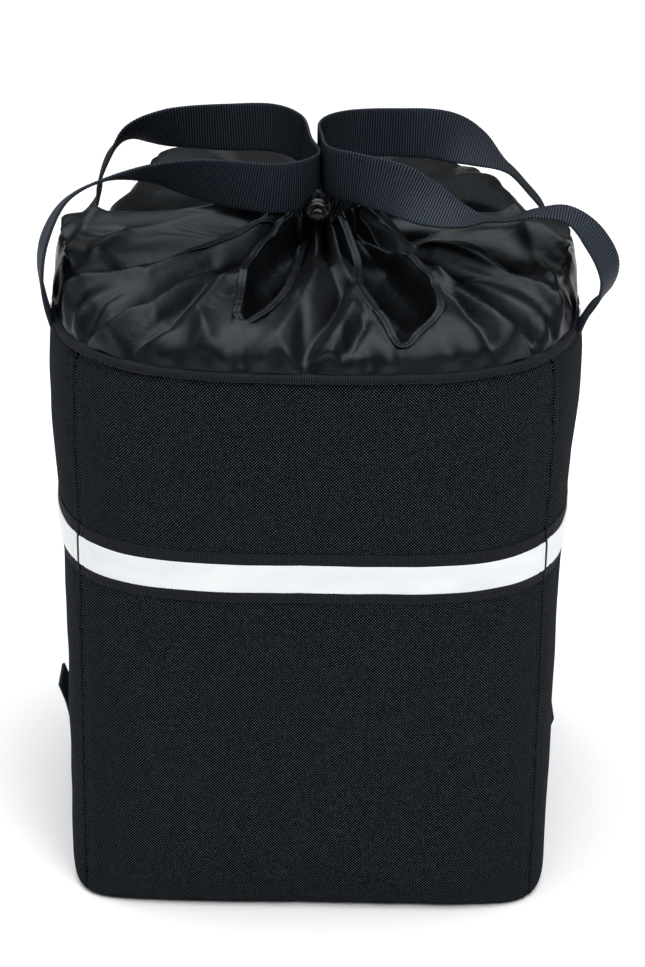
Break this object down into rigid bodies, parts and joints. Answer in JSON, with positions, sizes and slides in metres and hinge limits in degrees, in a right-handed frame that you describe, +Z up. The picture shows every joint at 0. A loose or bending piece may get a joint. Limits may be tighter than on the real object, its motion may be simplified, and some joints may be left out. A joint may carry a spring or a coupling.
{
  "type": "bicycle trunk bag",
  "caption": "Upright padded fabric bag for a bicycle carrier, with a gathered drawstring collar, webbing carry handles and a reflective band.",
  "frame": {"origin": "middle of the underside of the floor panel, on the surface that the bag stands on", "axes": "+Z up, -Y out of the front panel, +X to the viewer's right when facing the front panel"},
  "size_m": [0.2791, 0.2566, 0.3571],
  "materials": {
    "oxford_fabric": "black padded oxford cloth in a plain basket weave",
    "taffeta": "thin shiny black nylon taffeta",
    "grosgrain_tape": "ribbed black tape",
    "webbing": "ribbed black webbing",
    "reflective_strip": "silver grey reflective strip, satin",
    "cord": "braided black cord",
    "lock_plastic": "glossy black moulded plastic"
  },
  "bodies": {
    "root": {"front_panel": "oxford_fabric", "back_panel": "oxford_fabric", "left_side_panel": "oxford_fabric", "right_side_panel": "oxford_fabric", "bottom_panel": "oxford_fabric", "rim_binding": "grosgrain_tape", "collar": "taffeta", "left_handle": "webbing", "right_handle": "webbing", "rack_strap_left": "webbing", "rack_strap_right": "webbing", "tape_front": "grosgrain_tape", "tape_right": "grosgrain_tape", "tape_back": "grosgrain_tape", "tape_left": "grosgrain_tape", "reflector_front": "reflective_strip", "reflector_right": "reflective_strip", "reflector_back": "reflective_strip", "reflector_left": "reflective_strip", "drawcord": "cord", "cord_lock_barrel": "lock_plastic", "cord_lock_button": "lock_plastic"}
  },
  "joints": []
}
